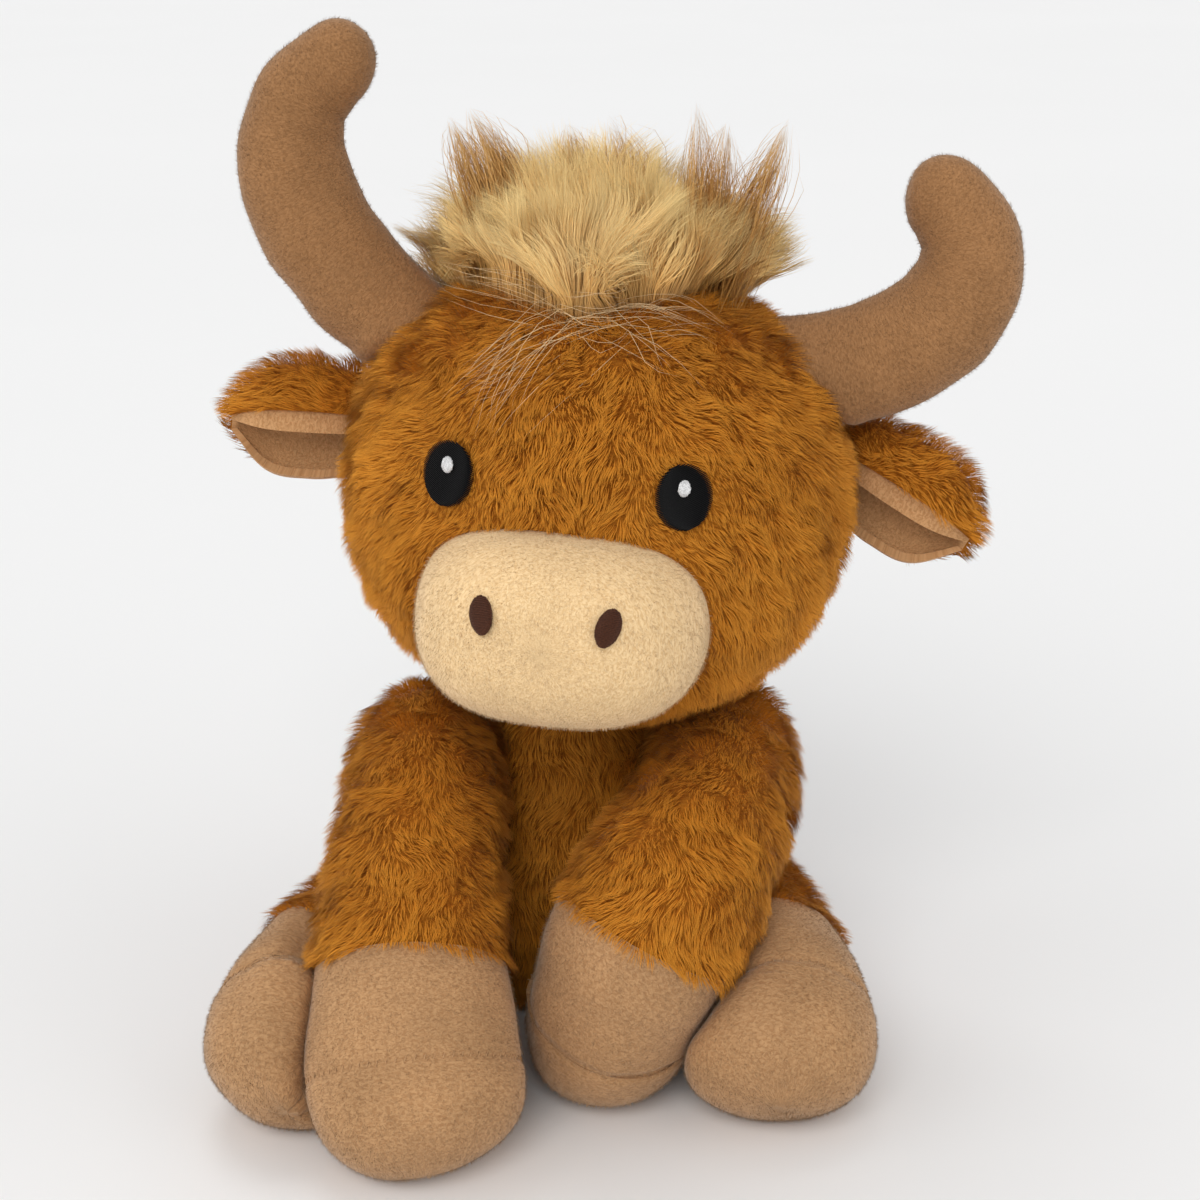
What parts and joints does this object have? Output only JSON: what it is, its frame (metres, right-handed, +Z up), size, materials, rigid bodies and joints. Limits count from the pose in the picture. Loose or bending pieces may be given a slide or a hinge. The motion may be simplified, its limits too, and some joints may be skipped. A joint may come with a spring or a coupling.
{
  "type": "plush cow",
  "caption": "Sitting plush cow with a jointed head, legs, ears and tail, stuffed horns, velvet hooves and a long-haired forelock.",
  "frame": {"origin": "middle of the flat seat of the torso, on the surface that the cow sits on", "axes": "+Z up, -Y the way that the cow faces, +X to the cow's own left side"},
  "size_m": [0.2359, 0.2358, 0.3047],
  "materials": {
    "golden_plush": "short golden-brown pile",
    "blond_hair": "long soft blond hair",
    "tan_velvet": "short napped tan cloth",
    "hoof_velvet": "short napped light brown cloth",
    "cream_velvet": "short napped cream cloth",
    "brown_thread": "satin stitch",
    "black_thread": "satin stitch",
    "white_thread": "satin stitch",
    "white_stuffing": "loose fibre filling",
    "bag_cotton": "plain woven cotton"
  },
  "bodies": {
    "torso": {"torso_cover": "golden_plush", "torso_stuffing": "white_stuffing", "pellet_bag": "bag_cotton"},
    "head": {"head_cover": "golden_plush", "head_stuffing": "white_stuffing", "forelock": "blond_hair", "muzzle_cover": "cream_velvet", "muzzle_stuffing": "white_stuffing", "right_nostril": "brown_thread", "left_nostril": "brown_thread", "right_eye": "black_thread", "right_eye_glint": "white_thread", "left_eye": "black_thread", "left_eye_glint": "white_thread", "right_horn_cover": "tan_velvet", "right_horn_stuffing": "white_stuffing", "left_horn_cover": "tan_velvet", "left_horn_stuffing": "white_stuffing"},
    "right_ear": {"right_ear_back": "golden_plush", "right_ear_lining": "tan_velvet"},
    "left_ear": {"left_ear_back": "golden_plush", "left_ear_lining": "tan_velvet"},
    "right_foreleg": {"right_foreleg_sleeve": "golden_plush", "right_foreleg_hoof_cuff": "hoof_velvet", "right_foreleg_hoof_cap": "hoof_velvet", "right_foreleg_stuffing": "white_stuffing"},
    "left_foreleg": {"left_foreleg_sleeve": "golden_plush", "left_foreleg_hoof_cuff": "hoof_velvet", "left_foreleg_hoof_cap": "hoof_velvet", "left_foreleg_stuffing": "white_stuffing"},
    "right_hind_leg": {"right_hind_leg_sleeve": "golden_plush", "right_hind_leg_hoof_cuff": "hoof_velvet", "right_hind_leg_hoof_cap": "hoof_velvet", "right_hind_leg_stuffing": "white_stuffing"},
    "left_hind_leg": {"left_hind_leg_sleeve": "golden_plush", "left_hind_leg_hoof_cuff": "hoof_velvet", "left_hind_leg_hoof_cap": "hoof_velvet", "left_hind_leg_stuffing": "white_stuffing"},
    "tail": {"tail": "golden_plush", "tail_tuft": "blond_hair"}
  },
  "joints": [
    {"name": "neck_nod", "type": "hinge", "parent": "torso", "child": "head", "pos_m": [0, 0.014, 0.094], "axis": [1, 0, 0], "range_deg": [-12, 2], "stiffness_Nm_per_rad": 2.5},
    {"name": "right_ear_flap", "type": "hinge", "parent": "head", "child": "right_ear", "pos_m": [-0.06734, 0.01277, 0.18526], "axis": [-0.0753, 0.993, -0.0906], "range_deg": [-12, 12], "stiffness_Nm_per_rad": 0.03},
    {"name": "left_ear_flap", "type": "hinge", "parent": "head", "child": "left_ear", "pos_m": [0.08578, -0.00111, 0.1743], "axis": [0.3423, 0.9325, -0.1156], "range_deg": [-12, 8], "stiffness_Nm_per_rad": 0.03},
    {"name": "right_foreleg_swing", "type": "hinge", "parent": "torso", "child": "right_foreleg", "pos_m": [-0.046, -0.00985, 0.08601], "axis": [-1, 0, 0], "range_deg": [0, 30], "stiffness_Nm_per_rad": 1},
    {"name": "left_foreleg_swing", "type": "hinge", "parent": "torso", "child": "left_foreleg", "pos_m": [0.045, -0.00985, 0.08601], "axis": [-1, 0, 0], "range_deg": [-1.5, 5], "stiffness_Nm_per_rad": 1.5},
    {"name": "right_hind_leg_splay", "type": "hinge", "parent": "torso", "child": "right_hind_leg", "pos_m": [-0.04, 0.0059, 0.03008], "axis": [0, 0, -1], "range_deg": [0, 24], "stiffness_Nm_per_rad": 0.6},
    {"name": "left_hind_leg_splay", "type": "hinge", "parent": "torso", "child": "left_hind_leg", "pos_m": [0.04, 0.0059, 0.03008], "axis": [0, 0, 1], "range_deg": [0, 24], "stiffness_Nm_per_rad": 0.6},
    {"name": "tail_lift", "type": "hinge", "parent": "torso", "child": "tail", "pos_m": [0, 0.059, 0.04606], "axis": [1, 0, 0], "range_deg": [-5, 40], "stiffness_Nm_per_rad": 0.03}
  ]
}
